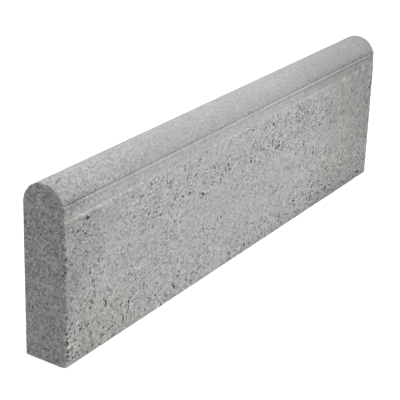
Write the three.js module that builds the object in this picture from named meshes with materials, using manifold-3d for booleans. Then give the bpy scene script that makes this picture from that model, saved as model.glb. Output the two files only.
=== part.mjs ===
// Concrete kerb stone: an edging kerb with a round head, cast in one piece.
//
// Millimetres, +Z up. The origin is the middle of the base. X runs along the kerb,
// -Y is the face that stays in view and +Y is the back.
//
// The kerb is one section, run along its length, with its arrises taken off at both
// ends. A press shapes the half-round head. On the back the head runs straight into the
// wall. On the face the mould stands wider than the press, which leaves a groove at the
// foot of the head, a ledge with a lip, and a smooth band below the lip.

import * as THREE from 'three';
import { mergeVertices, toCreasedNormals } from 'three/addons/utils/BufferGeometryUtils.js';
import Module from 'manifold-3d';

const wasm = await Module();
wasm.setup();

// Overall
const kerbLength = 1000;
const kerbHeight = 300;

// Round head
const headRadius = 40; // half of the kerb's nominal 80 mm thickness

// Seam between head and face
const seamDrop = 27.5; // crown of the head down to the ledge
const grooveRadius = 0.9; // groove in the corner of head and ledge
const ledgeWidth = 2.5; // foot of the head out to the lip
const lipHeight = 3; // edge of the ledge, above the band

// Face
const faceBatter = 1.5; // how much further out the face stands at the base
const faceToeRadius = 10;
const bandDepth = 0.8; // smooth band, set back from the face
const bandHeight = 22; // its flat part
const bandRunOut = 2.4; // height of the slope from the band out to the face below it

// Back
const backBatter = 2; // how much further out the back stands at the base
const backToeRadius = 2;

// Edges round both ends
const arris = 1.5;

// How far a cutting solid stands clear of what it cuts
const cutClearance = 0.5;

// Facets
const headFacets = 48;
const grooveFacets = 6;
const toeFacets = 8;
const smoothAngle = THREE.MathUtils.degToRad(20);

// Heights and angles that follow
const ledgeZ = kerbHeight - seamDrop;
const lipZ = ledgeZ - lipHeight;
const bandTopZ = lipZ - bandDepth; // the underside of the lip slopes back at 45 degrees
const bandFootZ = bandTopZ - bandHeight;
const runOutZ = bandFootZ - bandRunOut;
const headCentreZ = kerbHeight - headRadius;
const seamAngle = Math.PI - Math.asin((ledgeZ - headCentreZ) / headRadius);

// Points of the section are (across, up), with across negative towards the face.
const point = (across, up) => new THREE.Vector2(across, up);
const headCentre = point(0, headCentreZ);
const seamCorner = point(headRadius * Math.cos(seamAngle), ledgeZ);
const lipCorner = point(seamCorner.x - ledgeWidth, ledgeZ);
const faceToe = point(lipCorner.x - faceBatter, 0);
const backToe = point(headRadius + backBatter, 0);
const backTop = point(headRadius, headCentreZ);

// The battered face at a height, moved in from it by a depth
function onFace(z, depth) {
  return point(THREE.MathUtils.mapLinear(z, 0, ledgeZ, faceToe.x, lipCorner.x) + depth, z);
}

// An arc about a centre, anticlockwise where the angle grows
function arc(centre, radius, from, to, facets) {
  const curve = new THREE.EllipseCurve(centre.x, centre.y, radius, radius, from, to, to < from);
  return curve.getPoints(facets);
}

// A corner of the section, rounded by an arc that is tangent to both of its sides
function roundedCorner(before, corner, after, radius) {
  const toBefore = before.clone().sub(corner).normalize();
  const toAfter = after.clone().sub(corner).normalize();
  const halfAngle = toBefore.angleTo(toAfter) / 2;
  const inward = toBefore.clone().add(toAfter).normalize();
  const centre = corner.clone().addScaledVector(inward, radius / Math.sin(halfAngle));
  const start = corner.clone().addScaledVector(toBefore, radius / Math.tan(halfAngle));
  const startAngle = start.sub(centre).angle();
  return arc(centre, radius, startAngle, startAngle + Math.PI - 2 * halfAngle, toeFacets);
}

// The toe of the face
function roundedFaceToe() {
  return roundedCorner(lipCorner, faceToe, backToe, faceToeRadius);
}

// The toe of the back
function roundedBackToe() {
  return roundedCorner(faceToe, backToe, backTop, backToeRadius);
}

// The head from the back to the groove, then the groove about the seam's corner
function headAndGroove() {
  const grooveSpan = 2 * Math.asin(grooveRadius / (2 * headRadius)); // along the head
  const head = arc(headCentre, headRadius, 0, seamAngle - grooveSpan, headFacets);
  const grooveStart = head.at(-1).clone().sub(seamCorner).angle();
  return [...head, ...arc(seamCorner, grooveRadius, grooveStart, -Math.PI, grooveFacets).slice(1)];
}

// The lip and the smooth band, from the ledge down to where the band has run out
function lipAndBand() {
  return [
    lipCorner,
    onFace(lipZ, 0),
    onFace(bandTopZ, bandDepth),
    onFace(bandFootZ, bandDepth),
    onFace(runOutZ, 0),
  ];
}

// The head with the seam bridged: the arc runs on to its tangent through the lip's corner
function bridgedHead() {
  const toLip = lipCorner.clone().sub(headCentre);
  const tangentAngle = toLip.angle() - Math.acos(headRadius / toLip.length());
  return [...arc(headCentre, headRadius, 0, tangentAngle, headFacets), lipCorner];
}

// The whole section, run out longer than the kerb and still to be cut to length
function run() {
  const outline = [...roundedFaceToe(), ...roundedBackToe(), ...headAndGroove(), ...lipAndBand()];
  return new THREE.ExtrudeGeometry(new THREE.Shape(outline), {
    depth: kerbLength + 2 * cutClearance,
    bevelEnabled: false,
  }).translate(0, 0, -cutClearance);
}

// The space between the two ends: full length, just clear of the section along its sides,
// and narrowed towards each end by the arris. The small toe of the back is left square.
function betweenEnds() {
  const taper = arris + cutClearance;
  const outline = [...roundedFaceToe(), backToe, ...bridgedHead()];
  return new THREE.ExtrudeGeometry(new THREE.Shape(outline), {
    depth: kerbLength - 2 * taper,
    bevelEnabled: true,
    bevelThickness: taper,
    bevelSize: taper,
    bevelOffset: -arris,
    bevelSegments: 1,
  }).translate(0, 0, taper);
}

// A closed geometry as a solid that can be cut
function toSolid(geometry) {
  geometry.deleteAttribute('normal');
  geometry.deleteAttribute('uv');
  const merged = mergeVertices(geometry);
  return new wasm.Manifold(new wasm.Mesh({
    numProp: 3,
    vertProperties: merged.attributes.position.array,
    triVerts: Uint32Array.from(merged.index.array),
  }));
}

// A solid as a geometry, shaded smooth round its arcs and crisp at its edges
function toGeometry(solid) {
  const { vertProperties, triVerts } = solid.getMesh();
  const geometry = new THREE.BufferGeometry();
  geometry.setAttribute('position', new THREE.BufferAttribute(vertProperties, 3));
  geometry.setIndex(new THREE.BufferAttribute(triVerts, 1));
  return toCreasedNormals(geometry, smoothAngle);
}

const concrete = new THREE.MeshStandardMaterial({
  name: 'concrete',
  color: new THREE.Color().setRGB(0.66, 0.65, 0.63, THREE.SRGBColorSpace),
  roughness: 0.95,
  metalness: 0,
});

const kerbStone = new THREE.Mesh(toGeometry(toSolid(run()).intersect(toSolid(betweenEnds()))), concrete);
kerbStone.name = 'kerb_stone';
kerbStone.rotation.set(Math.PI / 2, Math.PI / 2, 0); // section upright, its run along X
kerbStone.position.x = -kerbLength / 2;

const kerb = new THREE.Group();
kerb.add(kerbStone);

export default kerb;
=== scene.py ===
"""Looks of a concrete kerb stone: one cast with a round head, a pressed seam and an open, pitted face."""

import math

import bpy
import numpy as np
from mathutils import Matrix, Vector, noise
from mathutils.geometry import delaunay_2d_cdt


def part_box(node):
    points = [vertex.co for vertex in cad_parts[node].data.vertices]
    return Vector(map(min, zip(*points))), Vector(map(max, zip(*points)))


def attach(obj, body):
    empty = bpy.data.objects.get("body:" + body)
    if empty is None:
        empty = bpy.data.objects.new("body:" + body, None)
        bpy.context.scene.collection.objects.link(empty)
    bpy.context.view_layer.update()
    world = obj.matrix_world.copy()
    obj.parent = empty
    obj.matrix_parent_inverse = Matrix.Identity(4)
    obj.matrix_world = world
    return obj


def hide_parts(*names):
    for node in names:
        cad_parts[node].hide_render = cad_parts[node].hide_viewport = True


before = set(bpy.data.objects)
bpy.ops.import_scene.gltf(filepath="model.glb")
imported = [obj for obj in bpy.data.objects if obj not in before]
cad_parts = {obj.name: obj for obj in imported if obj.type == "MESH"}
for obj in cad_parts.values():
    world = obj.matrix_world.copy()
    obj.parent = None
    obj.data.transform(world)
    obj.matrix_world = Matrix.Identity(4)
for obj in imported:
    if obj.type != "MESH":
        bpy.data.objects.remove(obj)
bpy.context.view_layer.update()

bl_info = {
    "name": "Concrete kerb stone",
    "version": (1, 0, 0),
    "blender": (4, 5, 0),
    "location": "3D View > Sidebar > Kerb",
    "description": "Casts a concrete kerb stone round its frame and sets a plain studio for it",
    "category": "Add Mesh",
}

MM = 0.001
KERB_NODE = "kerb_stone"
BODY = "root"
CONCRETE = "concrete"
KERB_LOW, KERB_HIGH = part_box(KERB_NODE)
SURFACE_VALUES = ("pit", "hollow", "open", "head", "end")  # what the mesh tells its material
CLOSE = 0.01 * MM  # points of the outline nearer than this count as one

# ---- Sizes and colours ----


def number_prop(name, description, default, **kind):
    return bpy.props.FloatProperty(name=name, description=description, default=default, **kind)


def length_prop(name, description, default, smallest=0.0):
    kind = {"min": smallest, "precision": 5, "unit": "LENGTH", "subtype": "DISTANCE"}
    return number_prop(name, description, default, **kind)


def colour_prop(name, description, default):
    return bpy.props.FloatVectorProperty(
        name=name, description=description, default=default, min=0, max=1, subtype="COLOR"
    )


class KerbSection(bpy.types.PropertyGroup):
    """Sizes of the section that runs the length of the kerb."""

    length: length_prop("Length", "End to end", float(KERB_HIGH[0] - KERB_LOW[0]))
    height: length_prop("Height", "Base to crown", float(KERB_HIGH[2] - KERB_LOW[2]))
    head_radius: length_prop("Head radius", "Radius of the half-round head", 40 * MM)
    seam_drop: length_prop("Seam drop", "Crown down to the ledge", 27.5 * MM)
    groove_radius: length_prop("Groove radius", "Groove at the foot of the head", 0.9 * MM)
    ledge_width: length_prop("Ledge width", "Foot of the head out to the lip", 2.5 * MM)
    lip_height: length_prop("Lip height", "Height of the lip over the smooth band", 3 * MM)
    face_batter: length_prop("Face batter", "How much further out the face stands at the base", 1.5 * MM)
    face_toe: length_prop("Face toe", "Radius of the toe of the face", 10 * MM)
    band_depth: length_prop("Band depth", "How far the smooth band is set back", 0.8 * MM)
    band_height: length_prop("Band height", "Height of the smooth band", 22 * MM)
    band_run_out: length_prop("Band run-out", "Height over which the band meets the face", 2.4 * MM)
    back_batter: length_prop("Back batter", "How much further out the back stands at the base", 2 * MM)
    back_toe: length_prop("Back toe", "Radius of the toe of the back", 2 * MM)
    arris: length_prop("Arris", "Bevel round both ends", 0.55 * MM)


class KerbTexture(bpy.types.PropertyGroup):
    """Sizes of the mesh and of the relief in the surface."""

    face_mesh: length_prop("Face mesh", "Distance between points of the face", 2.85 * MM, 1 * MM)
    head_mesh: length_prop("Head mesh", "Distance between points of the head", 3.5 * MM, 1 * MM)
    back_mesh: length_prop("Back mesh", "Distance between points of the back", 6 * MM, 1 * MM)
    base_mesh: length_prop("Base mesh", "Distance between points of the base", 9 * MM, 1 * MM)
    end_mesh: length_prop("End mesh", "Distance between points of the ends", 3.1 * MM, 1 * MM)
    relief: length_prop("Relief", "Depth of the roughness of the face", 0.55 * MM)
    waviness: length_prop("Waviness", "Depth of the slow waves in the face", 0.35 * MM)
    pit_count: bpy.props.IntProperty(
        name="Pits", description="Roughly how many pits are scattered over the face", default=1000, min=0
    )
    seed: bpy.props.IntProperty(name="Seed", description="Seed of all that is scattered", default=11)


class ConcreteFinish(bpy.types.PropertyGroup):
    """Colours of the concrete."""

    body: colour_prop("Body", "Clean concrete, mid length", (0.335, 0.326, 0.330))
    weathered: colour_prop("Weathered", "Duller concrete towards the ends", (0.268, 0.264, 0.2552))
    head: colour_prop("Head", "Smooth laitance on the head", (0.297, 0.292, 0.294))
    # The end colour is darker partly as painted shade: the ends face away from the light
    end: colour_prop("End", "Denser concrete of the two ends", (0.226, 0.226, 0.226))


class Studio(bpy.types.PropertyGroup):
    """The camera and the light."""

    camera_at: bpy.props.FloatVectorProperty(
        name="Camera place",
        description="Where the camera stands",
        default=(-1.7516, -1.0876, 0.9990),
        unit="LENGTH",
        subtype="TRANSLATION",
    )
    camera_turn: number_prop("Turn", "Turn of the view from the kerb", math.radians(33.06), subtype="ANGLE")
    camera_pitch: number_prop("Pitch", "How far it looks down", math.radians(23.58), subtype="ANGLE")
    camera_roll: number_prop("Roll", "How far it leans", math.radians(1.89), subtype="ANGLE")
    lens: number_prop("Lens", "Focal length", 110.7, subtype="DISTANCE_CAMERA")
    floor_colour: colour_prop("Floor", "Colour of the floor", (0.30, 0.30, 0.30))
    floor_light: number_prop("Floor light", "Light that comes up through the floor", 0.87, min=0)
    wall_light: number_prop("Walls", "Brightness of the pale walls", 0.79, min=0)
    key_power: number_prop("Key", "Power of the softbox in front", 15, min=0, unit="POWER")
    top_power: number_prop("Top", "Power of the softbox overhead", 100, min=0, unit="POWER")
    back_power: number_prop("Back", "Power of the softbox high behind", 36, min=0, unit="POWER")


# ---- The section ----


def pairs(a, b):
    """Points with these two coordinates, either of which may be one number for all."""
    return np.stack(np.broadcast_arrays(a, b), 1)


def unit(v):
    return v / np.linalg.norm(v)


def cross(a, b, c):
    """Above 0 where the way from a over b to c turns left."""
    return (b[0] - a[0]) * (c[1] - a[1]) - (b[1] - a[1]) * (c[0] - a[0])


def arc(centre, radius, start, end, count):
    angles = np.linspace(start, end, count + 1)
    return [centre + radius * np.array([math.cos(a), math.sin(a)]) for a in angles]


def rounded(before, corner, after, radius, count):
    """An arc tangent to both sides of a corner, from the side of before to the side of after."""
    to_before, to_after = unit(before - corner), unit(after - corner)
    half = math.acos(np.clip(to_before @ to_after, -1, 1)) / 2
    centre = corner + unit(to_before + to_after) * radius / math.sin(half)
    start = corner + to_before * radius / math.tan(half) - centre
    end = corner + to_after * radius / math.tan(half) - centre
    first = math.atan2(start[1], start[0])
    sweep = (math.atan2(end[1], end[0]) - first + math.pi) % (2 * math.pi) - math.pi
    return arc(centre, radius, first, first + sweep, count)


class Section:
    """The outline of the kerb without its smooth band, as points and the distance along it.

    It starts mid base and goes up the face, over the head and down the back."""

    FACE_TOE_FACETS, GROOVE_FACETS, HEAD_FACETS, BACK_TOE_FACETS = 16, 5, 96, 4

    def __init__(self, sizes):
        r = sizes.head_radius
        self.ledge = sizes.height - sizes.seam_drop
        centre = np.array([0.0, sizes.height - r])
        seam_angle = math.pi - math.asin((self.ledge - centre[1]) / r)
        seam = np.array([r * math.cos(seam_angle), self.ledge])
        base = np.zeros(2)
        lip = seam - [sizes.ledge_width, 0]
        toe = np.array([lip[0] - sizes.face_batter, 0.0])
        back_toe = np.array([r + sizes.back_batter, 0.0])
        back_top = np.array([r, centre[1]])
        span = 2 * math.asin(sizes.groove_radius / (2 * r))
        head = arc(centre, r, seam_angle - span, 0, self.HEAD_FACETS)
        groove_end = math.atan2(*(head[0] - seam)[::-1])
        groove = arc(seam, sizes.groove_radius, -math.pi, groove_end, self.GROOVE_FACETS)
        outline = {
            "base": [base],
            "toe": rounded(base, toe, lip, sizes.face_toe, self.FACE_TOE_FACETS),
            "lip": [lip],
            "groove": groove[:-1],
            "head": head,
            "back_toe": rounded(back_top, back_toe, base, sizes.back_toe, self.BACK_TOE_FACETS),
            "base_end": [base],
        }
        runs, points = {}, []
        for name, run in outline.items():
            runs[name] = slice(len(points), len(points) + len(run))
            points += run
        self.points = np.array(points)
        steps = np.linalg.norm(np.diff(self.points, axis=0), axis=1)
        self.along = np.concatenate([[0], np.cumsum(steps)])
        self.toe, self.back_toe = self.along[runs["toe"]], self.along[runs["back_toe"]]
        self.seam = self.along[runs["lip"].start : runs["head"].start + 1]
        self.lip, self.head = self.seam[[0, -1]]
        self.back, self.whole = self.along[runs["back_toe"].start - 1], self.along[-1]
        tangents = np.diff(self.points, axis=0) / steps[:, None]
        self.normals = pairs(tangents[:, 1], -tangents[:, 0])  # into the concrete
        self.hull = self.outer()

    def outer(self):
        """The convex outline round the section, as points and inward normals of its edges."""
        order = sorted(map(tuple, self.points[:-1].round(9)))
        sides = []
        for run in (order, order[::-1]):
            side = []
            for p in run:
                while len(side) > 1 and cross(side[-2], side[-1], p) <= 0:
                    side.pop()
                side.append(p)
            sides += side[:-1]
        loop = np.array(sides)
        edges = np.roll(loop, -1, axis=0) - loop
        edges /= np.linalg.norm(edges, axis=1)[:, None]
        return loop, pairs(-edges[:, 1], edges[:, 0])

    def place(self, s):
        """Points of the outline at these distances."""
        return np.stack([np.interp(s, self.along, values) for values in self.points.T], 1)

    def inward(self, s):
        """Normals into the concrete at these distances, shared between the two sides of a corner."""
        both = 0
        for step in (-2 * CLOSE, 2 * CLOSE):
            k = np.searchsorted(self.along, s + step, "right") - 1
            both = both + self.normals[np.clip(k, 0, len(self.normals) - 1)]
        return both / np.linalg.norm(both, axis=1)[:, None]

    def along_face(self, z):
        """Distance along the outline at a height on the straight part of the face."""
        low, high = self.place((self.toe[-1], self.lip))[:, 1]
        share = (z - low) / (high - low)
        return self.toe[-1] + share * (self.lip - self.toe[-1])


# ---- Relief ----


def smooth_step(x, low, high):
    t = np.clip((x - low) / (high - low), 0, 1)
    return t * t * (3 - 2 * t)


def bell(x, middle, width):
    return np.exp(-(((x - middle) / width) ** 2))


def waves(points, size, seed=0.0, octaves=1, gain=0.5):
    """Smooth noise about 0, of waves as long as size, at N x 2 or N x 3 points in metres."""
    points = np.asarray(points) / size
    flat = points.shape[1] == 2
    if flat:
        points = np.c_[points, np.zeros(len(points))]
    total = np.zeros(len(points))
    for octave in range(octaves):
        shift = seed + 17.3 * octave  # so that no two octaves share their waves
        spots = points * 2.0**octave + (shift, -shift, shift * flat)
        total += gain**octave * np.array([noise.noise(Vector(p)) for p in spots])
    return total


# Livelier (+) and calmer (-) areas of the face: along from the middle, up, half width, half height in
# millimetres, and how much
AREAS = [
    (-480, 215, 60, 45, 0.35), (-275, 190, 35, 26, 0.10), (-75, 192, 30, 20, 0.30),
    (120, 188, 55, 24, 0.55), (225, 228, 45, 18, 0.45), (290, 85, 70, 30, 0.35),
    (-340, 85, 45, 25, 0.05), (-480, 60, 70, 60, 0.40), (-320, 150, 70, 32, -0.45),
    (-75, 148, 45, 24, -0.60), (20, 108, 190, 34, -0.35), (140, 148, 45, 20, -0.40),
    (-60, 226, 110, 18, -0.45), (400, 160, 90, 60, -0.35), (170, 205, 30, 14, -0.30),
    (-150, 120, 60, 25, -0.25), (-395, 205, 45, 40, -0.60), (-350, 235, 50, 14, -0.40),
    (-350, 45, 30, 22, 0.25), (280, 35, 130, 20, 0.45),
]

# Larger open pits in the face: along from the middle and up, width and stretch, in millimetres
MARKED_PITS = [
    (-449, 237, 9, 1.9), (-456, 230, 4.5, 1.3), (-489, 231, 3, 2.4), (-481, 227, 3.5, 2.2),
    (-471, 223, 6.5, 2), (-458, 220, 4, 1.3), (-453, 214, 6, 1.8), (-388, 211, 4.5, 1.2),
    (-488, 175, 6.5, 1.5), (-454, 178, 5, 1.4), (-467, 58, 7.5, 1.8), (-450, 57, 7.5, 1.7),
    (-490, 60, 5, 1.3), (-405, 80, 6, 1.2), (-304, 67, 7.5, 1.1), (-345, 53, 6.5, 1.3),
    (-273, 34, 6, 1.2), (-218, 26, 8.5, 1.2), (-233, 23, 6.5, 1.5), (-165, 15, 9, 1.2),
    (-440, 16, 6, 1.3), (-473, 14, 6, 1.2), (-360, 28, 7, 1.4), (-411, 22, 5.5, 1.1),
    (-396, 25, 5, 1.3), (-284, 238, 5, 1.2), (-233, 224, 7.5, 2.4), (-263, 190, 5, 1.6),
    (-258, 175, 8, 1.5), (-175, 184, 7.5, 1.2), (-218, 149, 6.5, 1.6), (-363, 145, 5, 1.8),
    (-183, 213, 6, 1.6), (-293, 189, 5, 1.4), (-56, 199, 7, 1.2), (-134, 169, 7.5, 1.3),
    (-100, 206, 6, 1.5), (97, 229, 8.5, 1.2), (119, 180, 9.5, 1.6), (129, 172, 8, 2.4),
    (85, 198, 7.5, 1.6), (21, 180, 7.5, 1.8), (64, 189, 6.5, 1.1), (-73, 104, 8, 1.2),
    (-100, 93, 6, 1.7), (117, 90, 7, 1.7), (145, 89, 6.5, 1.2), (135, 33, 9.5, 1.6),
    (10, 20, 7.5, 1.9), (0, 159, 5, 1.6), (32, 139, 5, 1.5), (25, 239, 6, 1.5),
    (-79, 174, 5, 1.3), (278, 177, 9.5, 1.7), (290, 187, 7, 1.6), (195, 207, 7.5, 1.3),
    (227, 217, 7, 1.4), (257, 124, 9.5, 1.2), (189, 45, 9.5, 1.3), (252, 66, 8.5, 1.6),
    (318, 71, 10.5, 1.4), (466, 17, 13, 2.2), (257, 31, 9.5, 1.2), (322, 25, 12.5, 1.2),
    (486, 166, 8.5, 1.2), (457, 52, 8.5, 1.6), (187, 143, 6, 2.8), (307, 102, 7.5, 1.6),
    (350, 66, 8, 1.4), (181, 220, 7.5, 1.3), (390, 21, 11, 1.2), (385, 57, 8.5, 1.2),
    (487, 91, 7, 1.2), (446, 12, 9, 2.2), (436, 46, 7.5, 1.4), (-22, 19, 7.5, 1.1),
    (425, 30, 7, 1.3), (350, 14, 8, 1.6), (325, 170, 5, 3), (415, 210, 6.5, 1.3),
    (60, 16, 8, 1.4), (210, 16, 8.5, 1.5), (290, 15, 7.5, 1.5),
]

# Small pits elsewhere: how many, mean and spread of the logarithm of their width, least and most width
# in millimetres, most stretch, depth as a share of the width, and clear margin in millimetres
SMALL_PITS = {
    "head": (110, 0.45, 0.3, 1.1, 3.2, 1.8, 0.3, 0.5),
    "back": (230, 0.80, 0.4, 1.3, 5.5, 1.9, 0.4, 0.6),
    "end": (120, 0.35, 0.3, 1.0, 2.8, 1.7, 0.3, 0.4),
}

BUBBLE = (-0.375, -0.0408, 0.240)  # where a bubble left a small ring in the face
CHIP_HEIGHTS = (186, 175, 167, 62, 50, 17)  # larger chips in the arris of the face, in millimetres


def liveliness(spots):
    """How grainy and pitted the face is at points (along, up), about 1."""
    x, z = spots.T
    lively = 1 + 0.45 * waves(spots, 45 * MM, 4.0, 2)
    for at_x, at_z, wide, high, much in AREAS:
        across, up = (x - at_x * MM) / (wide * MM), (z - at_z * MM) / (high * MM)
        lively += much * np.exp(-(across**2) - up**2)
    return np.clip(lively, 0.25, 1.8)


class Pits:
    """Open pits in one flat map of the surface, kept clear of each other and of its edges."""

    CELL = 0.5 * MM
    RIM_PARTS = 12  # parts of a rim with a reach of their own

    def __init__(self, low, high):
        self.low = np.array(low)
        shape = np.ceil((np.array(high) - low) / self.CELL).astype(int) + 1
        self.taken = np.zeros(shape, bool)
        self.points, self.depths, self.floors, self.edges = [], [], [], []

    def cell(self, points):
        return ((np.asarray(points) - self.low) / self.CELL).round().astype(int)

    def block(self, points, reach):
        """Keeps a margin clear about points."""
        n = int(reach / self.CELL)
        for i, j in self.cell(points):
            self.taken[max(i - n, 0) : i + n + 1, max(j - n, 0) : j + n + 1] = True

    def free(self, points):
        i, j = np.clip(self.cell(points), 0, np.array(self.taken.shape) - 1).T
        return ~self.taken[i, j]

    def claim(self, centre, turn, reach):
        """Takes the cells of a turned ellipse, and tells whether all of them were there and free."""
        first = np.floor((np.array(centre) - reach[0] - self.low) / self.CELL).astype(int)
        last = np.ceil((np.array(centre) + reach[0] - self.low) / self.CELL).astype(int)
        if (first < 0).any() or (last >= self.taken.shape).any():
            return False
        i, j = np.mgrid[first[0] : last[0] + 1, first[1] : last[1] + 1]
        x, y = self.low[0] + i * self.CELL - centre[0], self.low[1] + j * self.CELL - centre[1]
        c, s = math.cos(turn), math.sin(turn)
        inside = ((x * c + y * s) / reach[0]) ** 2 + ((y * c - x * s) / reach[1]) ** 2 < 1
        i, j = i[inside], j[inside]
        if self.taken[i, j].any():
            return False
        self.taken[i, j] = True
        return True

    def dig(self, rng, centre, width, stretch, depth, margin, dark=1.0):
        """Digs one pit if there is room for it: a ragged rim, a steep wall and a floor."""
        turn = rng.uniform(-0.5, 0.5) if stretch > 1.35 else rng.uniform(0, math.pi)
        ragged = rng.uniform(0.5, 1.35, self.RIM_PARTS)
        ragged = np.append(ragged, ragged[0])
        long, short = width / 2 * math.sqrt(stretch), width / 2 / math.sqrt(stretch)
        if not self.claim(centre, turn, (long * 1.2 + margin, short * 1.2 + margin)):
            return
        c, s = math.cos(turn), math.sin(turn)
        count = 6 if width < 2.2 * MM else 8 if width < 4 * MM else 11
        wall = 0.76 if width < 4.5 * MM else 0.83
        # Each ring of points: its share of the reach and of the depth, how dark (painted shade in the pit,
        # and below 0 a painted highlight on the rim), and how many points
        rings = [(1.0, 0.0, -0.25, count), (wall, 0.8, 0.85, max(count - 2, 5))]
        if width > 3.6 * MM:
            rings.append((0.34, 1.0, 1.0, 4))
        for share, down, floor, n in rings:
            first = len(self.points)
            for k in range(n):
                a = 2 * math.pi * (k + 0.5 * (n % 2)) / n
                part = a / (2 * math.pi) * self.RIM_PARTS
                reach = share * np.interp(part, range(self.RIM_PARTS + 1), ragged)
                px, py = long * reach * math.cos(a), short * reach * math.sin(a)
                self.points.append((centre[0] + px * c - py * s, centre[1] + px * s + py * c))
                self.depths.append(depth * down * rng.uniform(0.85, 1.1) if down else 0.0)
                self.floors.append(floor * dark)
                self.edges.append((first + k, first + (k + 1) % n))


class Pattern:
    """A stretch of the surface laid out flat: points and edges, from which triangles are made."""

    def __init__(self):
        self.points, self.edges = [], []

    def add_line(self, line):
        """Adds a line of points, and gives the number of the first."""
        first = len(self.points)
        self.points.extend(map(tuple, line))
        self.edges.extend((k, k + 1) for k in range(first, len(self.points) - 1))
        return first

    def add_pits(self, pits):
        self.pits, self.first_pit = pits, len(self.points)
        self.points.extend(pits.points)
        self.edges.extend((self.first_pit + a, self.first_pit + b) for a, b in pits.edges)

    def triangulate(self):
        """Points, faces, which point each came from (-1: a new one), and depth and floor of the pits."""
        points = [Vector(p) for p in self.points]
        made, _, faces, sources, _, _ = delaunay_2d_cdt(points, self.edges, [], 0, 1e-7, True)
        spots = np.array([tuple(v) for v in made])
        source = np.array([ids[0] if ids else -1 for ids in sources])
        in_pits = source - self.first_pit
        dug = (in_pits >= 0) & (in_pits < len(self.pits.points))
        depth, floor = np.zeros((2, len(spots)))
        depth[dug] = np.array(self.pits.depths)[in_pits[dug]]
        floor[dug] = np.array(self.pits.floors)[in_pits[dug]]
        return spots, np.array([tuple(f) for f in faces]), source, depth, floor


def lattice(low, high, step, rng):
    """A ragged triangular lattice of points between two corners."""
    rows = max(int(round((high[1] - low[1]) / (step * 0.866))), 1)
    points = []
    for k in range(rows):
        y = low[1] + (k + 0.5) * (high[1] - low[1]) / rows
        x = np.arange(low[0] + (0.25 + 0.5 * (k % 2)) * step, high[0], step)
        points.append(pairs(x, y))
    points = np.concatenate(points)
    return points + rng.uniform(-0.2, 0.2, points.shape) * step


def inside(p, ring):
    """Whether a point lies inside a closed ring."""
    a, b = ring, np.roll(ring, -1, axis=0)
    crosses = (a[:, 1] > p[1]) != (b[:, 1] > p[1])
    with np.errstate(divide="ignore", invalid="ignore"):
        at = a[:, 0] + (p[1] - a[:, 1]) / (b[:, 1] - a[:, 1]) * (b[:, 0] - a[:, 0])
    return bool((crosses & (at > p[0])).sum() % 2)


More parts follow.
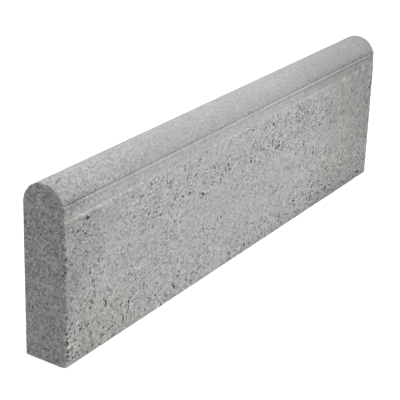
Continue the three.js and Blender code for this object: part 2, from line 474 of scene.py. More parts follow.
class Cast:
    """Builds the mesh of the kerb: the long surface as one sheet, then the two ends."""

    EDGE_STEP = 2.4 * MM  # between the points of an arris

    def __init__(self, sizes, texture):
        self.sizes, self.texture = sizes, texture
        self.section = Section(sizes)
        self.band_foot = self.section.ledge - sizes.lip_height - sizes.band_depth - sizes.band_height
        self.rng = np.random.default_rng(texture.seed)
        self.half = sizes.length / 2
        self.places, self.faces, self.maps = [], [], []
        self.values = {name: [] for name in SURFACE_VALUES}
        self.chips = {-1: self.scatter_chips(1.5 * MM), 1: self.scatter_chips(0.7 * MM)}
        self.sheet()
        for side in (-1, 1):
            self.end(side)

    # The arris

    def scatter_chips(self, deepest):
        """Crumbled spots of an arris: where along the outline, how long and how deep."""
        s, rng = self.section, self.rng
        chips = [(float(s.along_face(z * MM)), 3 * MM, 1.9 * deepest) for z in CHIP_HEIGHTS]
        for low, high, depth, count in (
            (s.toe[0], s.lip, deepest, 34),
            (s.head, s.back, 0.6 * deepest, 26),
            (s.back, s.back_toe[0], 0.3 * deepest, 16),
        ):
            for _ in range(count):
                at, reach = rng.uniform(low, high), rng.uniform(1.2, 3.2) * MM
                chips.append((at, reach, rng.uniform(0.3, 1) * depth))
        return chips

    def worn_toe(self, side, s):
        """How much wider the arris is where the near corner of the toe has worn off."""
        middle = (self.section.toe[0] + self.section.toe[-1]) / 2
        return 2.6 * MM * bell(s, middle, 9 * MM) * (side < 0)

    def arris_width(self, side, s):
        """Width of the arris at distances along the outline."""
        s = np.where(s > self.section.whole - CLOSE, 0, s)  # the outline is closed
        width = self.sizes.arris * (1 + 0.55 * waves(pairs(s, 3.7 * side), 14 * MM, 2.0, 2))
        for at, reach, depth in self.chips[side]:
            width += depth * np.clip(1 - np.abs(s - at) / reach, 0, 1) ** 0.7
        width += self.worn_toe(side, s)
        from_toe = np.abs(s - self.section.back_toe[0] - 1.6 * MM)
        widest = 0.8 * MM + np.maximum(from_toe - 3 * MM, 0) * 0.8  # narrow round the toe of the back
        return np.clip(width, 0.35 * MM, widest)

    def held(self, points, depth):
        """Points of the section moved in until they are this deep inside its convex outline."""
        nearest = np.full(len(points), np.inf)
        push = np.zeros((len(points), 2))
        for corner, normal in zip(*self.section.hull):
            away = (points - corner) @ normal
            closer = away < nearest
            nearest[closer], push[closer] = away[closer], normal
        return points + push * np.maximum(depth - nearest, 0)[:, None]

    # The rows that shape the lip and the smooth band

    def wander(self, x, size, seed, reach=1.0):
        """How far a row strays at these places along the kerb."""
        x = np.clip(x, -self.half + 6 * MM, self.half - 6 * MM)
        return reach * waves(pairs(x, seed), size, seed, 2)

    def band_rows(self, x):
        """Heights of the lip's edge, of the band's top and foot, and of where it meets the face."""
        lip = self.section.ledge - self.sizes.lip_height + self.wander(x, 40 * MM, 5.1, 0.25 * MM)
        foot = self.band_foot + self.wander(x, 55 * MM, 8.3, 1.6 * MM)
        out = foot - self.sizes.band_run_out * (1 + self.wander(x, 35 * MM, 1.9, 0.7))
        return lip, lip - self.sizes.band_depth, foot, out

    def recess(self, x, z):
        """How far the smooth band and the worn far end of the lip lie behind the face."""
        near = bell(x + self.half, 55 * MM, 70 * MM)
        far = smooth_step(x, -50 * MM, 250 * MM)
        depth = self.sizes.band_depth * (0.70 + 0.65 * near + 0.55 * far + self.wander(x, 50 * MM, 3.3, 0.4))
        lip, top, foot, out = self.band_rows(x)
        rise = np.clip((z - out) / np.maximum(foot - out, 1e-6), 0, 1)
        rise *= np.clip((lip - z) / (lip - top), 0, 1)
        worn = smooth_step(x, self.half - 18 * MM, self.half - 2 * MM) * smooth_step(z, 248 * MM, 268 * MM)
        return depth * rise + 1.3 * MM * worn

    def rows(self):
        """Rows of points along the kerb: distance along the outline as a function of x, and step."""
        s, t = self.section, self.texture

        def straight(places, step):
            return [(lambda x, a=a: 0 * x + a, step) for a in places]

        wavy = [(lambda x, k=k: s.along_face(self.band_rows(x)[k]), 3 * MM) for k in range(4)]
        base = straight((0.0, s.whole), t.base_mesh)
        return base + wavy + straight(s.seam, 3 * MM) + straight(s.back_toe, t.back_mesh)

    # The long surface

    def sheet(self):
        """Draws the long surface flat, with its rows, pits and spread points, and wraps it."""
        rows, pattern = self.rows(), Pattern()
        edges = {side: self.draw_edge(pattern, rows, side) for side in (-1, 1)}
        for k, (row, step) in enumerate(rows):
            ends = []
            for side, (at_rows, inner_x, inner, outer) in edges.items():
                pattern.edges.append((outer + at_rows[k], inner + at_rows[k]))
                ends.append((inner + at_rows[k], inner_x[at_rows[k]] - side * 0.7 * step))
            (start, low), (end, high) = ends
            x = np.linspace(low, high, int(round((high - low) / step)) + 1)
            first = pattern.add_line(pairs(x, row(x)))
            pattern.edges += [(start, first), (len(pattern.points) - 1, end)]
        pits = self.clear_map(rows)
        self.dig_face(pits)
        s = self.section
        self.dig_small(pits, "head", (s.head + 2 * MM, s.back))
        self.dig_small(pits, "back", (s.back, s.back_toe[0] - 3 * MM))
        pattern.add_pits(pits)
        self.fill(pattern, rows, pits)
        spots, faces, _, depth, floor = pattern.triangulate()
        self.lay(spots, faces, depth, floor)

    def draw_edge(self, pattern, rows, side):
        """Draws an end's arris and the very end, with every row and a regular run of points on both."""
        whole, half = self.section.whole, self.half
        on_rows = np.array([float(row(np.array([side * half]))[0]) for row, _ in rows])
        regular = np.arange(self.EDGE_STEP, whole - 1 * MM, self.EDGE_STEP)
        regular = regular[np.abs(regular[:, None] - on_rows).min(1) > 1 * MM]
        along = np.sort(np.concatenate([on_rows, regular]))
        at_rows = [int(np.abs(along - a).argmin()) for a in on_rows]
        inner_x = side * (half - self.arris_width(side, along))
        inner = pattern.add_line(pairs(inner_x, along))
        outer = pattern.add_line(pairs(side * half, along))
        return at_rows, inner_x, inner, outer

    def clear_map(self, rows):
        """A map for the pits of the long surface that keeps its rows and both arrises clear."""
        half, whole = self.half, self.section.whole
        pits = Pits((-half, 0), (half, whole))
        x = np.linspace(-half, half, int(2 * half / Pits.CELL))
        for row, _ in rows:
            pits.block(pairs(x, row(x)), 0.9 * MM)
        along = np.arange(0, whole, Pits.CELL)
        for side in (-1, 1):
            margin = self.arris_width(side, along) + 1.2 * MM
            for back in np.arange(0, 8 * MM, 0.8 * MM):
                pits.block(pairs(side * (half - np.minimum(margin, back)), along), Pits.CELL)
        return pits

    def density(self, x, z):
        """How thickly pits are scattered over the face, 0 to 1."""
        low = np.exp(-np.maximum(z - 8 * MM, 0) / (30 * MM))
        near = smooth_step(-x, 0.36, 0.43)
        clear = smooth_step(np.hypot(x - BUBBLE[0], z - BUBBLE[2]), 8 * MM, 12 * MM)
        low *= 0.9 + 0.3 * smooth_step(x, 0, 0.15)
        return clear * np.clip(liveliness(pairs(x, z)) - 0.45 - 0.75 * near + low, 0, 1.5) / 1.5

    def dig_face(self, pits):
        """Digs the marked pits, then the scattered ones."""
        s, rng, half = self.section, self.rng, self.half
        for x, z, width, stretch in MARKED_PITS:
            at = (x * MM, float(s.along_face(z * MM)))
            self.dig_group(pits, at, width * MM, stretch, rng.integers(2, 6), 1)
        tries = self.texture.pit_count * 3
        x = rng.uniform(-half + 3 * MM, half - 3 * MM, tries)
        along = rng.uniform(s.toe[0] + 7 * MM, s.along_face(238 * MM), tries)
        z = along - s.along_face(0)
        keep = rng.uniform(0, 1, tries) < self.density(x, z)
        size = np.clip(rng.lognormal(0.96, 0.5, tries), 1.5, 7.0) * (1 + 0.25 * np.exp(-z / (50 * MM))) * MM
        for k in np.flatnonzero(keep):
            more = rng.integers(1, 5) if rng.uniform() < 0.4 else 0
            stretch, dark = rng.uniform(1, 3.2), rng.uniform(0.25, 0.85)
            self.dig_group(pits, (x[k], along[k]), size[k], stretch, more, dark)

    def dig_group(self, pits, centre, width, stretch, more, dark):
        """Digs a pit and some smaller ones close to it."""
        rng = self.rng
        pits.dig(rng, centre, width, stretch, width * rng.uniform(0.26, 0.42), 0.35 * MM, dark)
        for _ in range(more):
            turn, away = rng.uniform(0, 2 * math.pi), width * rng.uniform(0.8, 1.4)
            up = max(centre[1] + 0.8 * away * math.sin(turn), self.section.toe[0] + 6 * MM)
            at = (centre[0] + 1.25 * away * math.cos(turn), up)
            size = max(width * rng.uniform(0.35, 0.65), 1.3 * MM)
            pits.dig(rng, at, size, rng.uniform(1, 1.8), size * 0.36, 0.3 * MM, dark)

    def dig_small(self, pits, kind, up, across=None, ring=None):
        """Scatters small pits between limits across and up, and inside a ring if there is one."""
        rng = self.rng
        count, mean, spread, least, most, stretch, deep, margin = SMALL_PITS[kind]
        across = across or (-self.half + 4 * MM, self.half - 4 * MM)
        for _ in range(count):
            size = np.clip(rng.lognormal(mean, spread), least, most) * MM
            at = (rng.uniform(*across), rng.uniform(*up))
            if ring is None or inside(at, ring):
                pits.dig(rng, at, size, rng.uniform(1, stretch), size * deep, margin * MM)

    def fill(self, pattern, rows, pits):
        """Spreads points between the rows and the pits, closest where the surface is roughest."""
        s, t, half = self.section, self.texture, self.half
        by_toe = s.toe[0] - 4 * MM
        foot = s.along_face(self.band_foot)
        crown = s.head + (s.back - s.head) * 0.5
        for low, high, step in (
            (0, by_toe, t.base_mesh),
            (by_toe, foot, t.face_mesh),
            (foot, s.lip, t.head_mesh),
            (s.head, crown, t.head_mesh),
            (crown, s.back, t.head_mesh * 1.25),
            (s.back, s.back_toe[0], t.back_mesh),
            (s.back_toe[-1], s.whole, t.base_mesh),
        ):
            spread = lattice((-half, low), (half, high), step, self.rng)
            spread = spread[pits.free(spread)]
            x, along = spread.T
            clear = np.ones(len(spread), bool)
            for row, _ in rows:
                clear &= np.abs(along - row(x)) > 0.42 * step
            for side in (-1, 1):
                clear &= side * x < half - self.arris_width(side, along) - 0.45 * step
            pattern.points.extend(map(tuple, spread[clear]))

    def relief(self, x, along, flat):
        """How far the long surface lies behind its section, and what its points tell the material."""
        s, t = self.section, self.texture
        z = flat[:, 1]
        on_face = (along > s.toe[0]) & (along < s.lip + CLOSE)
        on_head = (along >= s.head) & (along <= s.back)
        on_back = (along > s.back) & (along < s.back_toe[0])
        on_base = (along < s.toe[0]) | (along > s.back_toe[-1])
        on_seam = (along > s.lip - 3.2 * MM) & (along < s.head + 0.5 * MM)
        # Roughness: full on the face, little on head and band, hardly any on seam and base
        rough_top = 243 * MM + 14 * MM * smooth_step(x, 0.33, 0.40) + self.wander(x, 22 * MM, 4.4, 4 * MM)
        rough_face = on_face * (1 - smooth_step(z, rough_top, rough_top + 6 * MM))
        rough_back = on_back * smooth_step(252 * MM - z, 0, 30 * MM)
        rough = 0.10 + 0.90 * rough_face + 0.14 * on_head + 0.5 * rough_back
        rough[on_base] = 0.12
        rough[on_seam] = 0.06
        # Hollows between the stones, and slow waves
        solid = np.c_[x, flat]
        coarse = np.abs(waves(solid, 16 * MM, 1.0, 1))
        fine = waves(solid, 7.5 * MM, 6.0, 2, 0.7)
        hollow = np.clip(0.38 + 0.75 * fine + 0.35 * (coarse - 0.3), 0, 1)
        slow = np.clip(0.5 + 0.5 * waves(solid, 110 * MM, 9.0, 2), 0, 1)
        edge = smooth_step(self.half - np.abs(x), 0.5 * MM, 5 * MM)
        relief = rough * hollow * t.relief * (0.4 + 0.6 * edge)
        relief += slow * t.waviness * (rough_face + 0.5 * on_head + 0.8 * on_back) * edge
        relief[on_base & (relief < 0.03 * MM)] = 0
        opened = rough_face * liveliness(pairs(x, z)) + 0.8 * on_back
        values = {"hollow": hollow, "open": opened, "head": on_head, "end": 0 * x}
        return on_face * self.recess(x, z) + relief, values

    def lay(self, spots, faces, pit_depth, floor):
        """Wraps the triangulated sheet round the section with its relief, and cuts the arris."""
        s, half = self.section, self.half
        x, along = spots[:, 0], np.clip(spots[:, 1], 0, s.whole)
        flat = s.place(along)
        depth, values = self.relief(x, along, flat)
        flat = flat + s.inward(along) * (depth + pit_depth)[:, None]
        width = np.where(x < 0, self.arris_width(-1, along), self.arris_width(1, along))
        cut = np.maximum(np.abs(x) - (half - width), 0)
        flat = np.where((cut > 0)[:, None], self.held(flat, cut), flat)
        chipped = smooth_step(width - self.worn_toe(x, along), 1.9 * MM, 2.6 * MM)
        values["pit"] = np.where(cut > 0, np.maximum(floor, 0.55 * chipped), floor)
        place = np.c_[x, flat[:, 0], np.maximum(flat[:, 1], 0)]
        # The two long edges of the sheet meet under the base, and share their points
        closing = along > s.whole - CLOSE
        twins = {round(float(x[k]), 7): k for k in np.flatnonzero(along < CLOSE)}
        index = np.arange(len(x))
        index[closing] = [twins[round(float(at), 7)] for at in x[closing]]
        used = np.unique(index)
        renumber = np.full(len(x), -1)
        renumber[used] = np.arange(len(used))
        uv = pairs(x + half, along)
        self.add(place, used, renumber[index][faces], uv[faces], values)
        # The rings that the ends are set into
        self.rings = {}
        for side in (-1, 1):
            ring = np.flatnonzero((np.abs(x - side * half) < 1e-7) & ~closing)
            ring = ring[np.argsort(along[ring])]
            self.rings[side] = renumber[ring], place[ring][:, 1:]

    def add(self, places, new, faces, maps, values):
        """Adds a stretch of surface, of whose points only the new ones are added."""
        self.places += list(places[new])
        self.faces += list(faces)
        self.maps += list(maps)
        for name, value in values.items():
            self.values[name] += list(value[new])

    # The ends

    def end(self, side):
        """Draws one end flat, with its pits, and sets it into its ring."""
        t = self.texture
        ids, ring = self.rings[side]
        count = len(ring)
        low, high = ring.min(0), ring.max(0)
        pattern = Pattern()
        pattern.add_line(ring)
        pattern.edges.append((count - 1, 0))
        pits = Pits(low - 2 * MM, high + 2 * MM)
        for a, b in zip(ring, np.roll(ring, -1, axis=0)):
            pits.block([a + (b - a) * share for share in (0, 0.33, 0.66)], 0.9 * MM)
        self.dig_small(pits, "end", (low[1], high[1]), (low[0], high[0]), ring)
        pattern.add_pits(pits)
        spread = lattice(low, high, t.end_mesh, self.rng)
        spread = spread[pits.free(spread)]
        near = np.array([np.abs(ring - p).max(1).min() for p in spread])
        spread = spread[(near > 0.45 * t.end_mesh) & np.array([inside(p, ring) for p in spread])]
        pattern.points.extend(map(tuple, spread))
        spots, faces, source, depth, floor = pattern.triangulate()
        faces = faces[[inside(p, ring) for p in spots[faces].mean(1)]]
        away = np.array([np.linalg.norm(ring - p, axis=1).min() for p in spots])
        solid = np.c_[np.full(len(spots), side * 0.5), spots]
        hollow = np.clip(0.4 + 0.9 * waves(solid, 7 * MM, 3.0, 2, 0.6), 0, 1)
        slow = np.clip(0.5 + 0.5 * waves(solid, 60 * MM, 5.0, 1), 0, 1)
        fade = smooth_step(away, 0.3 * MM, 4 * MM)
        relief = (0.28 * MM * hollow + 0.3 * MM * slow) * fade + depth
        place = np.c_[side * (self.half - relief), spots]
        on_ring = (source >= 0) & (source < count)
        fresh = np.flatnonzero(~on_ring)
        index = np.full(len(spots), -1)
        index[on_ring] = ids[source[on_ring]]
        index[fresh] = len(self.places) + np.arange(len(fresh))
        none, full = np.zeros(len(spots)), np.ones(len(spots))
        values = {"pit": floor, "hollow": hollow, "open": 0.2 * full, "head": none, "end": full}
        corners = faces if side > 0 else faces[:, ::-1]
        # In the map the ends lie one after the other beside the long surface
        across = spots[:, 0] - low[0] + self.section.whole + 12 * MM
        up = spots[:, 1] + (20 * MM if side < 0 else 20 * MM + self.sizes.height + 15 * MM)
        self.add(place, fresh, index[corners], pairs(up, across)[corners], values)

    def mesh(self, name):
        me = bpy.data.meshes.new(name)
        me.from_pydata([tuple(p) for p in self.places], [], [tuple(map(int, f)) for f in self.faces])
        layer = me.uv_layers.new(name="OFBake")
        uv = np.array(self.maps).reshape(-1, 2) / (self.sizes.length * 1.01) + 0.004
        layer.data.foreach_set("uv", uv.ravel().astype(np.float32))
        for label, value in self.values.items():
            me.attributes.new(label, "FLOAT", "POINT").data.foreach_set("value", np.array(value, np.float32))
        me.shade_smooth()
        me.set_sharp_from_angle(angle=math.radians(42))
        if me.validate():
            raise RuntimeError("the kerb's mesh had faults")
        return me


# ---- Material ----


class Value:
    """An output socket of a material's nodes, so that shader maths reads as an expression."""

    def __init__(self, nodes, socket):
        self.nodes, self.socket = nodes, socket

    def maths(self, operation, *values):
        node = self.nodes.make("ShaderNodeMath", {"operation": operation}, dict(enumerate(values)))
        return Value(self.nodes, node.outputs[0])

    def __add__(self, other):
        return self.maths("ADD", self, other)

    def __sub__(self, other):
        return self.maths("SUBTRACT", self, other)

    def __rsub__(self, other):
        return self.maths("SUBTRACT", other, self)

    def __mul__(self, other):
        return self.maths("MULTIPLY", self, other)

    def __truediv__(self, other):
        return self.maths("DIVIDE", self, other)

    def __abs__(self):
        return self.maths("ABSOLUTE", self)

    __radd__, __rmul__ = __add__, __mul__

    def step(self, low, high):
        """0 below low, 1 above high, smooth between."""
        node = self.nodes.make(
            "ShaderNodeMapRange",
            {"interpolation_type": "SMOOTHSTEP"},
            {"Value": self, "From Min": low, "From Max": high, "To Min": 0.0, "To Max": 1.0},
        )
        return Value(self.nodes, node.outputs["Result"])

    def peak(self, width):
        """1 at 0, and falling smoothly to 0 at this distance from it."""
        return (1 - abs(self) / width).step(0, 1)


class Nodes:
    """Makes the nodes of one material."""

    def __init__(self, material):
        material.use_nodes = True
        self.tree = material.node_tree
        self.tree.nodes.clear()

    def plug(self, socket, value):
        if isinstance(value, Value):
            self.tree.links.new(value.socket, socket)
        else:
            socket.default_value = value

    def make(self, kind, settings=None, inputs=None):
        node = self.tree.nodes.new(kind)
        for name, value in (settings or {}).items():
            setattr(node, name, value)
        for key, value in (inputs or {}).items():
            self.plug(node.inputs[key], value)
        return node

    def out(self, node, key=0):
        return Value(self, node.outputs[key])

    def vector(self, operation, *values):
        return self.out(self.make("ShaderNodeVectorMath", {"operation": operation}, dict(enumerate(values))))

    def attribute(self, name):
        return self.out(self.make("ShaderNodeAttribute", {"attribute_name": name}), "Fac")

    def noise(self, where, size, detail=2.0, rough=0.5, key="Fac"):
        """Smooth noise of about 0 to 1 with features of this size in metres."""
        inputs = {"Vector": where, "Scale": 1 / size, "Detail": detail, "Roughness": rough}
        return self.out(self.make("ShaderNodeTexNoise", {"noise_dimensions": "3D"}, inputs), key)

    def cells(self, where, size, key="Distance"):
        """Cells of this size in metres: the distance from the middle of each, or a colour for each."""
        inputs = {"Vector": where, "Scale": 1 / size, "Randomness": 1.0}
        return self.out(self.make("ShaderNodeTexVoronoi", {"feature": "F1"}, inputs), key)

    def shades(self, where, size):
        """Cells of this size, each of one value from 0 to 1."""
        split = self.make("ShaderNodeSeparateColor", inputs={"Color": self.cells(where, size, "Color")})
        return self.out(split, "Red")

    def mix(self, factor, a, b):
        node = self.make("ShaderNodeMix", {"data_type": "RGBA", "blend_type": "MIX", "clamp_factor": True})
        sockets = {s.identifier: s for s in node.inputs}
        for key, value in (("Factor_Float", factor), ("A_Color", a), ("B_Color", b)):
            self.plug(sockets[key], value)
        return Value(self, next(s for s in node.outputs if s.identifier == "Result_Color"))

    def scale(self, colour, amount):
        node = self.make("ShaderNodeVectorMath", {"operation": "SCALE"}, {0: colour, "Scale": amount})
        return self.out(node)


class Place:
    """Where a point of the kerb lies, in values for shader maths: metres, and masks from 0 to 1."""

    def __init__(self, n):
        self.at = n.out(n.make("ShaderNodeTexCoord"), "Object")
        split = n.make("ShaderNodeSeparateXYZ", inputs={0: self.at})
        self.x, self.y, self.z = (n.out(split, k) for k in range(3))
        self.pit, self.hollow, self.open, self.head, self.end = map(n.attribute, SURFACE_VALUES)
        self.front = (0 - self.y).step(0.030, 0.034) * (1 - self.end)
        self.near_head = self.head * self.near(0.22, 0.47)
        self.near_band = self.near(0.40, 0.47) * self.above(0.245, 0.250) * (1 - self.head) * self.front
        self.near_face = self.near(0.10, 0.32) * self.open
        self.far_top = self.far(0.31, 0.40) * self.above(0.10, 0.17) * self.open
        self.corner = self.near(0.45, 0.485) * self.below(0.05, 0.11) * self.front

    def near(self, start, full):
        """Grows towards the near end, between these distances from the middle."""
        return (0 - self.x).step(start, full)

    def far(self, start, full):
        return self.x.step(start, full)

    def above(self, start, full):
        return self.z.step(start, full)

    def below(self, full, start):
        return 1 - self.above(full, start)


def weathering(n, p):
    """How dull the concrete is, in soft patches and towards both ends, and where that is warmer."""
    patch = n.noise(p.at, 0.10, 3, 0.55)
    near, far = p.near(0.33, 0.50), p.far(0.16, 0.50)
    aged = (patch - 0.5) * 1.5 + near * (0.75 - p.head * 0.22) + far * (0.95 - p.head * 0.45)
    near_foot = p.near(0.26, 0.33) * p.below(0.085, 0.125)
    far_wall = p.far(0.26, 0.34) * 0.8
    weather = (aged + (near_foot + far_wall) * p.front * (1 - p.head) * 0.8).step(0.05, 1.0)
    return weather, weather - aged.step(0.05, 1.0)


def stretches(p):
    """Stretches of the kerb that are lighter (+) or darker (-) than the rest."""
    far_foot = p.below(0.006, 0.030) * p.far(-0.10, 0.08) * p.front
    far_wall = p.far(0.34, 0.43) * p.above(0.05, 0.12) * (1 - p.above(0.19, 0.22) * 0.6) * p.open
    far_middle = p.far(0.10, 0.22) * p.above(0.15, 0.19) * p.open
    far_low = p.below(0.035, 0.065) * p.far(0.10, 0.34) * p.open
    head = p.head * ((p.x + 0.4).step(0, 0.25) * 0.032 + p.far(0.10, 0.35) * 0.100)
    # Painted light on the lower part of the face, where the floor lights it, and a lighter near bottom
    # corner
    tone = p.below(0.08, 0.19) * p.open * 0.05 + p.corner * 0.10
    tone = tone - far_foot * 0.17 - far_wall * 0.09 - far_middle * 0.055 - far_low * 0.055 - head
    # Painted shade on the toe, which turns down to the floor, and a lighter strip at the very near end of
    # the face
    return tone - p.below(0.001, 0.012) * p.front * 0.10 + p.near(0.4935, 0.4965) * p.front * 0.06


def seam(n, p, ledge):
    """Factors of the tone: painted shade darkens the groove, painted highlights light the lip and the foot
    of the band, and the band is dull.
    """
    right = p.far(0.16, 0.50)
    near, by_end = p.near(0.37, 0.45), p.near(0.455, 0.475)
    shifted = p.z + (n.noise(p.at, 0.02, 2, 0.6) - 0.5) * near * 0.012
    strands = n.noise(p.at, 0.012, 2, 0.6)
    drift = n.noise(p.at, 0.03, 2, 0.6)
    dashes = n.noise(p.at, 0.009, 1, 0.5).step(0.48, 0.62)
    blot = (n.noise(p.at, 0.014, 2, 0.6) - 0.5).step(0.06, 0.16)

    def stripe(low, high, soft=0.6, height=p.z):
        """A stripe along the face, its edges in millimetres above the ledge."""
        low, high, soft = ledge + low * MM, ledge + high * MM, soft * MM
        return height.step(low - soft, low + soft) * (1 - height.step(high - soft, high + soft)) * p.front

    # Painted shade in the groove at the foot of the head
    groove = stripe(-0.3, 1.0) * (drift * 0.28 + dashes * 0.20 - 0.02)
    # Painted highlight on the upward-facing lip, weaker towards the far end
    lip = stripe(-3.5, -0.1) * (drift * 0.26 - right * 0.12)
    shade = stripe(-8.5, -4.1, 1.2) * (0.09 + p.far(-0.10, 0.25) * 0.09)
    band = stripe(-23.5, -4.1) * (p.far(0.10, 0.30) * 0.16 - p.far_top * 0.10)
    # Painted highlights on the upward-facing ridges at the foot of the band
    streak = stripe(-26.1, -23.3, 0.8) * (1 - p.far(-0.32, -0.05) * 0.5) * drift * 0.44
    streak = streak + stripe(-29.0, -22.5, 1.5, shifted) * near * (strands * 0.36 + 0.02)
    streak = streak + stripe(-22.5, -16.0, 2.0, shifted) * by_end * strands * 0.26
    # Painted shadow under the ridge at the foot of the band, near the near end
    ridge_shadow = stripe(-33.0, -30.3, 1.0, shifted) * near * (1 - by_end * 0.7) * (drift * 0.34)
    rims = p.near(0.465, 0.500) * p.front * p.above(0.07, 0.15) * 0.08 + p.far(0.44, 0.495) * 0.05
    # The foot of the head is darker, in blotches, more so towards the far end and close to the near end
    head_foot_amount = p.far(0.02, 0.16) * 0.07 - 0.02 + right * 0.05
    head_foot_amount = head_foot_amount + p.near(0.40, 0.45) * (1 - p.near(0.475, 0.492)) * 0.15 + blot * 0.20
    head_foot_dark = p.below(0.2745, 0.2830) * p.head * p.front * head_foot_amount
    return 1 - groove - rims - head_foot_dark - ridge_shadow, 1 + lip - shade - band + streak


def scratch(p):
    """A short scratch along the crown of the head, near the end."""
    off_x, off_y = p.x + 0.4755, p.y + 0.0088
    along, across = off_x * 0.97 + off_y * 0.25, off_y * 0.97 - off_x * 0.25
    mark = 1 - along * along / 0.0140**2 - across * across / 0.0021**2
    return mark.step(0, 0.7) * p.above(0.290, 0.295)


def bubble_ring(n, p):
    """A ring left by a bubble, wider than it is high: the ring, the moat in it and what stands in that."""
    squeezed = n.vector("MULTIPLY", p.at, (0.7, 1.0, 1.0))
    middle = (0.7 * BUBBLE[0], BUBBLE[1], BUBBLE[2])
    node = n.make("ShaderNodeVectorMath", {"operation": "DISTANCE"}, {0: squeezed, 1: middle})
    away = n.out(node, "Value")
    return (away - 0.0052).peak(0.0014), (away - 0.0030).peak(0.0014), 1 - away.step(0.0008, 0.0018)


def crumbs(n, p):
    """The crumbled foot of the near edge: all of it, its ridges and its furrows."""
    crumbled = p.near(0.468, 0.484) * p.above(0.004, 0.012) * p.below(0.068, 0.092) * p.front
    swirl = n.noise(p.at, 0.012, 1, 0.4) - 0.5
    return crumbled, swirl.peak(0.085) * crumbled, (swirl + 0.13).peak(0.045) * crumbled


def make_concrete(finish, sizes):
    """Bare grey concrete: sand grain, dark open pores, smooth laitance on head and band."""
    material = bpy.data.materials.new(CONCRETE)
    n = Nodes(material)
    p = Place(n)
    weather, warmed = weathering(n, p)

    # Sand, from single grains up to mottling and knobs
    bent = n.vector("MULTIPLY_ADD", n.noise(p.at, 1 / 350, key="Color"), (0.006,) * 3, p.at)
    grains = n.shades(bent, 0.0021) - 0.5
    sand = n.shades(bent, 0.0036) - 0.5
    mottle = n.noise(p.at, 0.0065, 3, 0.65) - 0.5
    knobs = n.noise(p.at, 0.010, 2, 0.5) - 0.5
    lumps = n.noise(p.at, 0.014, 2, 0.5) - 0.5
    cloud = n.noise(p.at, 0.045, 3, 0.6) - 0.5
    knobby = p.open * (0.10 + p.far(0.2, 0.4) * 0.5) + p.corner * 1.1 + p.near_band * 0.15
    near_low = p.near(0.22, 0.40) * p.below(0.07, 0.17) * p.open
    foot = p.below(0.015, 0.050) * p.open
    grain = 0.70 + p.open * 0.39 + p.near_face * 0.08 + near_low * 0.04 + foot * 0.10 - p.far_top * 0.28
    grain = grain + p.near_head * 0.56 - p.head * 0.13 - p.far(0.10, 0.35) * p.head * 0.16
    grain = grain + p.end * 0.68 + p.near_band * 0.50
    tone = 1 + grain * (grains * 0.60 + sand * 0.28 + mottle * (0.21 + p.end * 0.22))
    tone = tone + cloud * 0.14 + stretches(p) + warmed * 0.215
    tone = tone + (sand.step(0.20, 0.48) * 0.15 + grains.step(0.20, 0.48) * 0.12 - 0.035) * p.end
    tone = tone + lumps * p.far_top + knobs * knobby * 0.45 - (p.hollow - 0.4) * (p.open * 0.2 + p.end * 0.1)

    # Pores too small to model, ragged rather than round, darkened with painted shade
    pore_reach = (n.shades(bent, 0.0055) - 0.62 + p.open * 0.22 + p.near_face * 0.03) * 0.72
    pore = (pore_reach - n.cells(bent, 0.0055)).step(-0.02, 0.08)
    pore = pore * (0.25 + p.open * 0.7 + p.near_head * 0.8) * (1 - p.end * 0.6) * (1 - p.far_top * 0.6)

    # Marks, with painted shade and highlights along the seam
    dark, light = seam(n, p, sizes.height - sizes.seam_drop)
    ring, moat, island = bubble_ring(n, p)
    crumbled, ridge, furrow = crumbs(n, p)
    tone = tone * dark * light
    tone = tone * (1 - scratch(p) * 0.42)
    tone = tone * (1 + ring * 0.40 - moat * 0.42 + island * 0.25)
    tone = tone * (1 + ridge * 0.42 - furrow * 0.32 + crumbled * 0.03)
    # Painted shade in the pits and pores; below 0 the pit value gives a painted highlight on the pit rims
    tone = tone * (1 - p.pit * 0.65) * (1 - pore * 0.57)

    colour = n.mix(p.head, (*finish.body, 1), (*finish.head, 1))
    colour = n.mix(weather, colour, (*finish.weathered, 1))
    # The ends take a darker colour, partly painted shade of the ends that face away from the light
    colour = n.mix(p.end, colour, (*finish.end, 1))

    # Relief too fine to model, in millimetres
    fine = n.noise(p.at, 0.0020, 2, 0.6) * 0.24 + n.noise(p.at, 0.0046, 2, 0.5) * (0.38 + p.end * 0.15)
    height = fine * grain * (1 - p.near_head * 0.5) - pore * 0.7 + grains * 0.08
    height = height + knobs * knobby * 1.5 + lumps * p.far_top * 3.0
    height = height + ring * 0.5 - moat * 0.4 + ridge * 1.4 - furrow
    bump = n.make("ShaderNodeBump", inputs={"Strength": 1.0, "Distance": MM, "Height": height})
    shader = n.make(
        "ShaderNodeBsdfPrincipled",
        inputs={
            "Base Color": n.scale(colour, tone),
            "Roughness": 0.88 + (n.noise(p.at, 0.01) - 0.5) * 0.16,
            "Normal": n.out(bump, "Normal"),
            "Specular IOR Level": 0.35,
        },
    )
    n.make("ShaderNodeOutputMaterial", inputs={"Surface": n.out(shader)})
    return material


# ---- Operators ----


def add_object(name, data):
    made = bpy.data.objects.new(name, data)
    bpy.context.scene.collection.objects.link(made)
    return made


class KERB_OT_cast(bpy.types.Operator):
    """Cast the kerb stone over its frame"""

    bl_idname = "kerb.cast"
    bl_label = "Cast kerb stone"
    bl_options = {"REGISTER", "UNDO"}

    def execute(self, context):
        scene = context.scene
        cast = Cast(scene.kerb_section, scene.kerb_texture)
        kerb = add_object("kerb_cast", cast.mesh("kerb_cast"))
        kerb.data.materials.append(make_concrete(scene.kerb_finish, scene.kerb_section))
        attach(kerb, BODY)
        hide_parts(KERB_NODE)
        return {"FINISHED"}


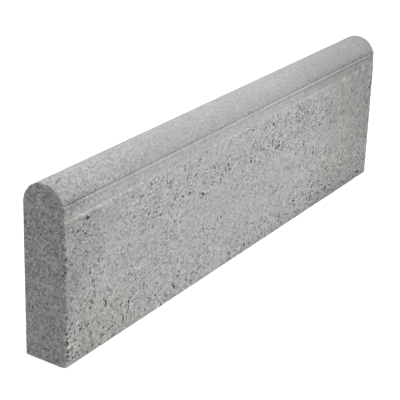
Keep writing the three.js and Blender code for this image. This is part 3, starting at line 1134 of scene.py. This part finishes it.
class KERB_OT_stage(bpy.types.Operator):
    """Set the floor, the lights and the camera"""

    bl_idname = "kerb.stage"
    bl_label = "Set stage"
    bl_options = {"REGISTER", "UNDO"}

    FLOOR_REACH = 40.0
    # Softboxes: name, setting that holds the power, place, target, and size
    SOFTBOXES = (
        ("key_softbox", "key_power", (0.05, -1.0, 1.3), (0.05, 0.0, 0.14), (0.8, 0.7)),
        ("top_softbox", "top_power", (0.1, 0.2, 3.4), (0.1, 0.2, 0.0), (3.4, 3.0)),
        ("back_softbox", "back_power", (0.35, 1.6, 1.9), (0.35, 0.0, 0.28), (2.2, 1.0)),
    )

    def execute(self, context):
        studio = context.scene.kerb_studio
        context.scene.view_settings.view_transform = "Standard"
        self.floor(studio)
        self.walls(context.scene, studio)
        for name, power, place, target, size in self.SOFTBOXES:
            self.softbox(name, getattr(studio, power), Vector(place), Vector(target), size)
        self.camera(context.scene, studio)
        return {"FINISHED"}

    def floor(self, studio):
        r = self.FLOOR_REACH
        me = bpy.data.meshes.new("floor")
        me.from_pydata([(-r, -r, 0), (r, -r, 0), (r, r, 0), (-r, r, 0)], [], [(0, 1, 2, 3)])
        floor = add_object("floor", me)
        material = bpy.data.materials.new("floor_paint")
        n = Nodes(material)
        shader = n.make(
            "ShaderNodeBsdfPrincipled",
            inputs={
                "Base Color": (*studio.floor_colour, 1),
                "Roughness": 0.9,
                "Specular IOR Level": 0.2,
                "Emission Color": (1, 1, 1, 1),
                "Emission Strength": studio.floor_light,
            },
        )
        n.make("ShaderNodeOutputMaterial", inputs={"Surface": n.out(shader)})
        me.materials.append(material)

    def walls(self, scene, studio):
        """Pale walls that fade into a darker ceiling."""
        scene.world = bpy.data.worlds.new("studio")
        n = Nodes(scene.world)
        where = n.out(n.make("ShaderNodeTexCoord"), "Generated")
        up = n.out(n.make("ShaderNodeSeparateXYZ", inputs={0: where}), "Z")
        light = (1 - up.step(0.14, 0.40)) * studio.wall_light + 0.05
        sky = n.make("ShaderNodeBackground", inputs={"Color": (1, 1, 1, 1), "Strength": light})
        n.make("ShaderNodeOutputWorld", inputs={"Surface": n.out(sky)})

    def softbox(self, name, power, place, target, size):
        data = bpy.data.lights.new(name, "AREA")
        data.shape, data.energy = "RECTANGLE", power
        data.size, data.size_y = size
        box = add_object(name, data)
        box.location = place
        box.rotation_euler = (target - place).to_track_quat("-Z", "Y").to_euler()
        box.visible_camera = False

    def camera(self, scene, studio):
        data = bpy.data.cameras.new("camera")
        data.lens, data.sensor_width = studio.lens, 36
        camera = add_object("camera", data)
        quarter = math.pi / 2
        turn = Matrix.Rotation(studio.camera_turn - quarter, 4, "Z")
        pitch = Matrix.Rotation(quarter - studio.camera_pitch, 4, "X")
        roll = Matrix.Rotation(studio.camera_roll, 4, "Z")
        camera.matrix_world = Matrix.Translation(studio.camera_at) @ turn @ pitch @ roll
        scene.camera = camera


class KERB_PT_panel(bpy.types.Panel):
    """Lists the makers of the kerb and of its stage"""

    bl_idname = "KERB_PT_panel"
    bl_label = "Kerb stone"
    bl_space_type = "VIEW_3D"
    bl_region_type = "UI"
    bl_category = "Kerb"

    def draw(self, context):
        for maker in OPERATORS:
            self.layout.operator(maker.bl_idname)
        for name, group in GROUPS.items():
            box = self.layout.box()
            box.label(text=group.__doc__)
            for key in group.__annotations__:
                box.prop(getattr(context.scene, name), key)


OPERATORS = (KERB_OT_cast, KERB_OT_stage)
GROUPS = {
    "kerb_section": KerbSection,
    "kerb_texture": KerbTexture,
    "kerb_finish": ConcreteFinish,
    "kerb_studio": Studio,
}
CLASSES = (*GROUPS.values(), *OPERATORS, KERB_PT_panel)


def register():
    for cls in CLASSES:
        bpy.utils.register_class(cls)
    for name, group in GROUPS.items():
        setattr(bpy.types.Scene, name, bpy.props.PointerProperty(type=group))


def unregister():
    for name in GROUPS:
        delattr(bpy.types.Scene, name)
    for cls in reversed(CLASSES):
        bpy.utils.unregister_class(cls)


def corners(box):
    return [[float(v) for v in corner] for corner in box]


def main():
    register()
    bpy.ops.kerb.cast()
    bpy.ops.kerb.stage()


if __name__ == "__main__":
    main()
